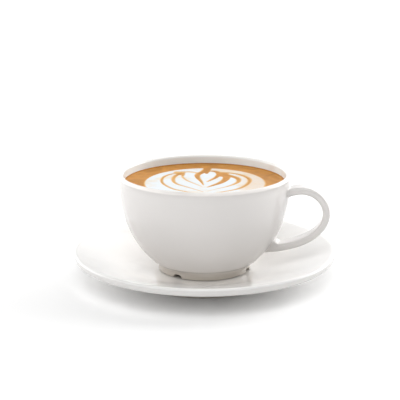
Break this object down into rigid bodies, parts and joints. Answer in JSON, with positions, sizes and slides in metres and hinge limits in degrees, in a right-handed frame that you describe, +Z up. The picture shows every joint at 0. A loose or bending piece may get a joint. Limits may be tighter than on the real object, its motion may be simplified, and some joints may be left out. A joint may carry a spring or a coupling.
{
  "type": "latte in a cup and saucer",
  "caption": "Latte with a poured leaf figure of milk foam, in a white glazed cup with one strap handle, standing on a wide shallow saucer.",
  "frame": {"origin": "on the floor, at the centre of the saucer", "axes": "+Z up, +X towards the cup's handle"},
  "size_m": [0.1612, 0.1612, 0.0656],
  "materials": {
    "glaze": "glossy white glaze on stoneware",
    "crema": "wet caramel-brown coffee surface, stands in for a liquid",
    "foam": "fine satin milk foam"
  },
  "bodies": {
    "root": {"saucer": "glaze", "cup": "glaze", "coffee": "crema", "milk_foam": "foam"}
  },
  "joints": []
}
